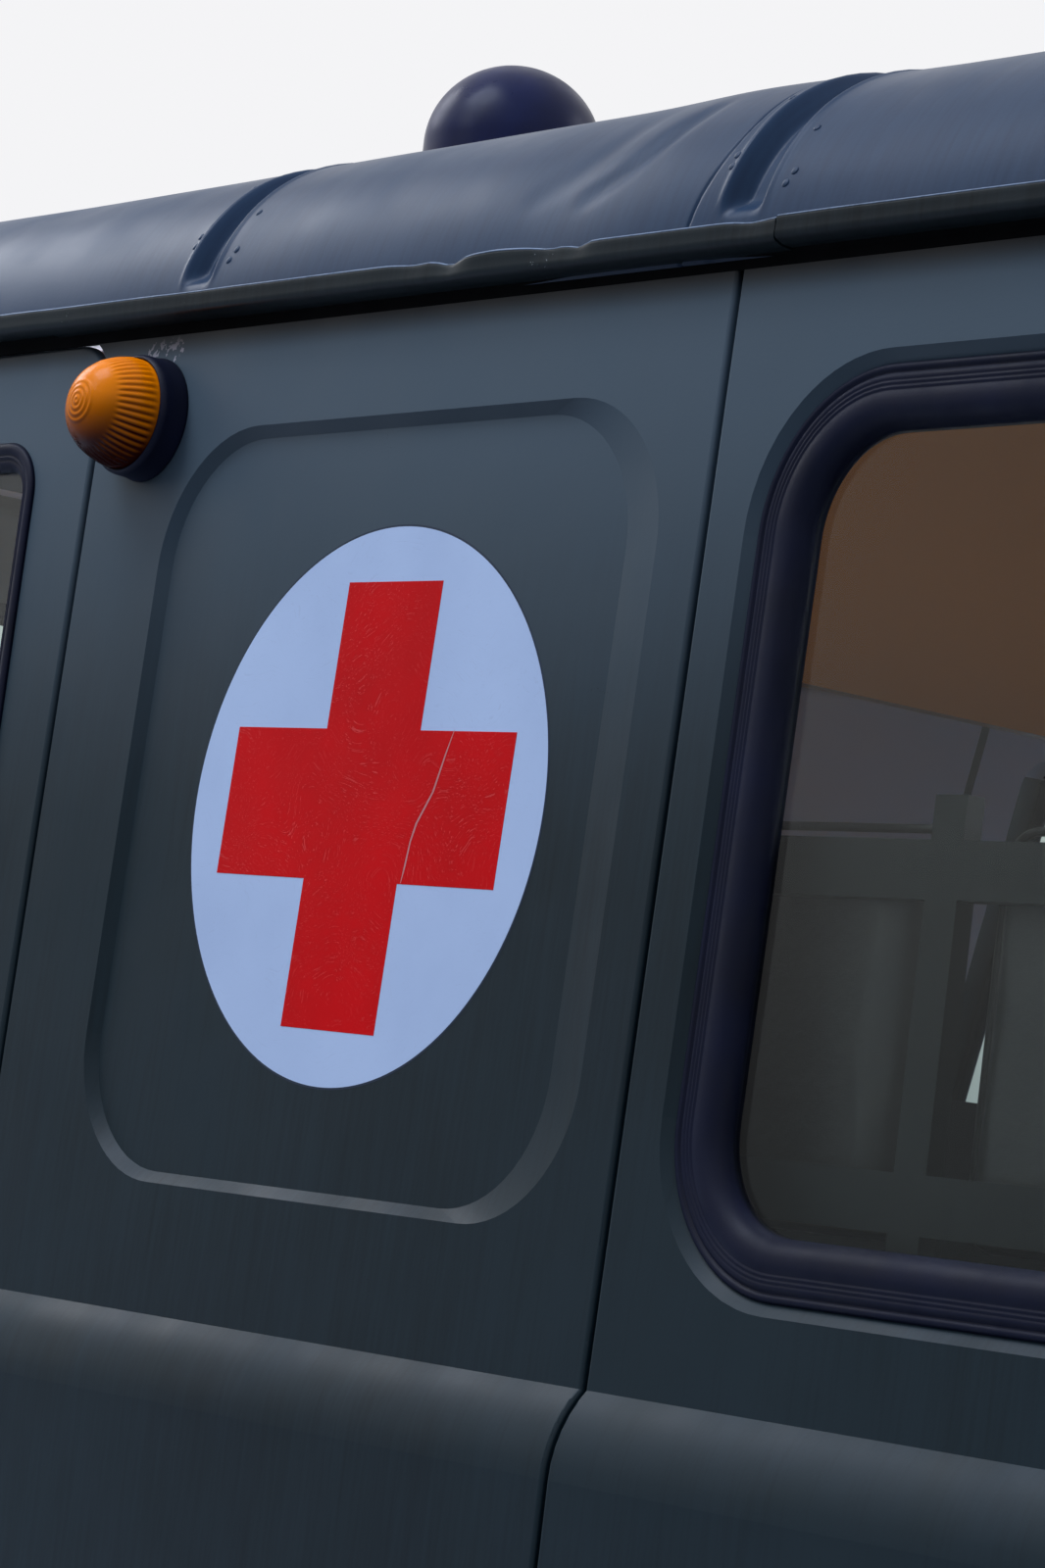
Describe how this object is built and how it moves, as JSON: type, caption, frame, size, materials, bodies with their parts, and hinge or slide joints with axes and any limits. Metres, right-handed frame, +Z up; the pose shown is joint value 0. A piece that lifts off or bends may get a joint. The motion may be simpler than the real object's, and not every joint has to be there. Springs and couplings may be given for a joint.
{
  "type": "military ambulance truck",
  "caption": "Forward-control four-wheel-drive van body ambulance with side and rear doors, raked split windscreen, ribbed roof, roof beacon and a recessed field for its cross.",
  "frame": {"origin": "on the ground under the middle of the vehicle's length and width", "axes": "+X to the vehicle's left, -Y to its front, +Z up"},
  "size_m": [2.26, 4.382, 2.4],
  "materials": {
    "body_paint": "semi-matt dark grey-green paint, dusty and chipped",
    "inner_paint": "grey-green inner paint",
    "chassis_black": "satin black chassis paint",
    "engine_paint": "grey engine paint with oil film",
    "bare_steel": "dull rusted steel",
    "seal_rubber": "black weathered rubber",
    "clear_glass": "clear glass with a faint green tint",
    "tyre_rubber": "black tyre rubber",
    "rim_paint": "dark grey-green wheel paint",
    "lamp_glass": "clear fluted lamp glass",
    "amber_lens": "translucent amber plastic",
    "red_lens": "translucent red plastic",
    "navy_lens": "glossy deep blue plastic",
    "black_plastic": "black moulded plastic",
    "vinyl": "black vinyl",
    "grey_tube": "grey paint on steel tubes and pressings"
  },
  "bodies": {
    "body": {"roof": "body_paint", "nose_panel": "body_paint", "screen_frame": "body_paint", "cab_sills": "body_paint", "cross_panel": "body_paint", "side_door_surround": "body_paint", "window_panels_front": "body_paint", "window_panels_rear": "body_paint", "rear_frame": "body_paint", "drip_rails": "body_paint", "door_hinges": "body_paint", "floor": "inner_paint", "engine_cover": "inner_paint", "partition": "inner_paint", "dashboard": "inner_paint", "frame_rails": "chassis_black", "cross_members": "chassis_black", "axles": "chassis_black", "leaf_springs": "chassis_black", "fuel_tanks": "chassis_black", "bumpers": "chassis_black", "mirrors": "chassis_black", "powertrain": "engine_paint", "exhaust": "bare_steel", "window_seals": "seal_rubber", "fixed_glass": "clear_glass", "headlamps": "lamp_glass", "amber_lamps": "amber_lens", "tail_lamps": "red_lens", "beacon": "navy_lens", "seat_frames": "grey_tube", "ward_frames": "grey_tube", "seat_cushions": "vinyl", "ward_cushions": "vinyl"},
    "door_front_left": {"door_front_left": "body_paint", "glass_front_left": "clear_glass"},
    "door_front_right": {"door_front_right": "body_paint", "glass_front_right": "clear_glass"},
    "door_side": {"door_side": "body_paint", "glass_side": "clear_glass"},
    "door_rear_left": {"door_rear_left": "body_paint", "glass_rear_left": "clear_glass"},
    "door_rear_right": {"door_rear_right": "body_paint", "glass_rear_right": "clear_glass"},
    "knuckle_left": {"knuckle_left": "chassis_black"},
    "knuckle_right": {"knuckle_right": "chassis_black"},
    "wheel_front_left": {"tyre_front_left": "tyre_rubber", "rim_front_left": "rim_paint"},
    "wheel_front_right": {"tyre_front_right": "tyre_rubber", "rim_front_right": "rim_paint"},
    "wheel_rear_left": {"tyre_rear_left": "tyre_rubber", "rim_rear_left": "rim_paint"},
    "wheel_rear_right": {"tyre_rear_right": "tyre_rubber", "rim_rear_right": "rim_paint"},
    "steering_wheel": {"steering_wheel": "black_plastic"}
  },
  "joints": [
    {"name": "front_left_door", "type": "hinge", "parent": "body", "child": "door_front_left", "pos_m": [0.98, -1.742, 0.86], "axis": [0, 0, -1], "range_deg": [0, 70]},
    {"name": "front_right_door", "type": "hinge", "parent": "body", "child": "door_front_right", "pos_m": [-0.98, -1.742, 0.86], "axis": [0, 0, 1], "range_deg": [0, 70]},
    {"name": "side_door", "type": "hinge", "parent": "body", "child": "door_side", "pos_m": [-0.98, -0.687, 0.86], "axis": [0, 0, 1], "range_deg": [0, 90]},
    {"name": "rear_left_door", "type": "hinge", "parent": "body", "child": "door_rear_left", "pos_m": [0.618, 2.142, 0.86], "axis": [0, 0, -1], "range_deg": [0, 100]},
    {"name": "rear_right_door", "type": "hinge", "parent": "body", "child": "door_rear_right", "pos_m": [-0.618, 2.142, 0.86], "axis": [0, 0, 1], "range_deg": [0, 100]},
    {"name": "steer_left", "type": "hinge", "parent": "body", "child": "knuckle_left", "pos_m": [0.6, -1.2, 0.39], "axis": [0, 0, 1], "range_deg": [-27, 27]},
    {"name": "steer_right", "type": "hinge", "parent": "body", "child": "knuckle_right", "pos_m": [-0.6, -1.2, 0.39], "axis": [0, 0, 1], "range_deg": [-27, 27]},
    {"name": "steering_wheel_turn", "type": "hinge", "parent": "body", "child": "steering_wheel", "pos_m": [0.48, -1.62, 1.23], "axis": [0, 0.5, 0.866], "range_deg": [-540, 540]},
    {"name": "front_left_wheel_spin", "type": "hinge", "parent": "knuckle_left", "child": "wheel_front_left", "pos_m": [0.721, -1.2, 0.39], "axis": [1, 0, 0], "continuous": true},
    {"name": "front_right_wheel_spin", "type": "hinge", "parent": "knuckle_right", "child": "wheel_front_right", "pos_m": [-0.721, -1.2, 0.39], "axis": [1, 0, 0], "continuous": true},
    {"name": "rear_left_wheel_spin", "type": "hinge", "parent": "body", "child": "wheel_rear_left", "pos_m": [0.721, 1.1, 0.39], "axis": [1, 0, 0], "continuous": true},
    {"name": "rear_right_wheel_spin", "type": "hinge", "parent": "body", "child": "wheel_rear_right", "pos_m": [-0.721, 1.1, 0.39], "axis": [1, 0, 0], "continuous": true}
  ],
  "couplings": [
    {"joint": "steer_right", "follows": "steer_left", "ratio": 1},
    {"joint": "steering_wheel_turn", "follows": "steer_left", "ratio": 20}
  ]
}
